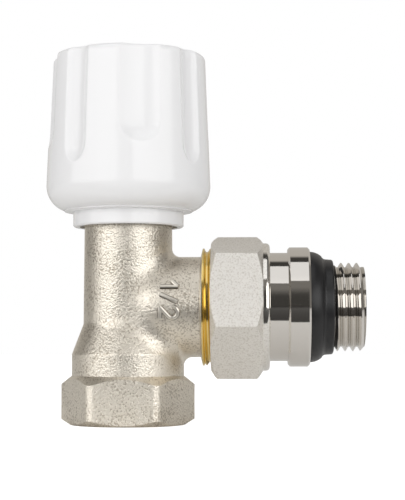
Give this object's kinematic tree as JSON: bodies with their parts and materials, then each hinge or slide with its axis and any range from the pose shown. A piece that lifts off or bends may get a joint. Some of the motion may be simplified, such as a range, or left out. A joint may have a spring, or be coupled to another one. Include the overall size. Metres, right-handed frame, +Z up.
{
  "type": "manual radiator valve",
  "caption": "Angle pattern manual radiator valve with fluted white handwheel, nickel plated body, hexagon inlet, union nut and self-sealing threaded tail.",
  "frame": {"origin": "middle of the inlet mouth, on the lower face of the body", "axes": "+Z up the spindle towards the handwheel, +X out along the radiator tail, -Y towards the viewer of the picture"},
  "size_m": [0.0748, 0.0388, 0.0872],
  "materials": {
    "blasted_nickel": "sand-blasted nickel plate over forged brass",
    "satin_nickel": "satin nickel plate over brass",
    "polished_nickel": "mirror-polished nickel plate over brass",
    "bare_brass": "machined bare brass",
    "white_plastic": "glossy white moulded plastic",
    "slip_plastic": "smooth low-friction plastic",
    "black_rubber": "matte black rubber",
    "spring_steel": "plain steel"
  },
  "bodies": {
    "valve": {"valve_body": "blasted_nickel", "bonnet": "bare_brass", "bonnet_o_ring": "black_rubber"},
    "handwheel": {"handwheel_grip": "white_plastic", "handwheel_carrier": "white_plastic", "handwheel_screw": "spring_steel", "handwheel_cap": "white_plastic", "spindle": "bare_brass", "spindle_o_ring_lower": "black_rubber", "spindle_o_ring_upper": "black_rubber", "thrust_washer": "slip_plastic", "spindle_circlip": "spring_steel"},
    "plug": {"plug": "bare_brass", "seat_washer": "black_rubber", "washer_screw": "bare_brass"},
    "tail": {"tail_piece": "polished_nickel", "tail_o_ring": "black_rubber", "tail_gasket": "black_rubber", "nut_retaining_ring": "spring_steel"},
    "nut": {"union_nut": "satin_nickel"}
  },
  "joints": [
    {"name": "handwheel_turn", "type": "hinge", "parent": "valve", "child": "handwheel", "pos_m": [0, 0, 0.0475], "axis": [0, 0, 1], "range_deg": [0, 720]},
    {"name": "plug_lift", "type": "slide", "parent": "valve", "child": "plug", "axis": [0, 0, 1], "range_m": [0, 0.003]},
    {"name": "tail_slide", "type": "slide", "parent": "valve", "child": "tail", "axis": [1, 0, 0], "range_m": [0, 0.006]},
    {"name": "nut_turn", "type": "hinge", "parent": "tail", "child": "nut", "pos_m": [0.026, 0, 0.0275], "axis": [1, 0, 0], "range_deg": [0, 1440]}
  ],
  "couplings": [
    {"joint": "handwheel_turn", "follows": "plug_lift", "rad_per_m": 4188.8},
    {"joint": "nut_turn", "follows": "tail_slide", "rad_per_m": 4188.8}
  ]
}
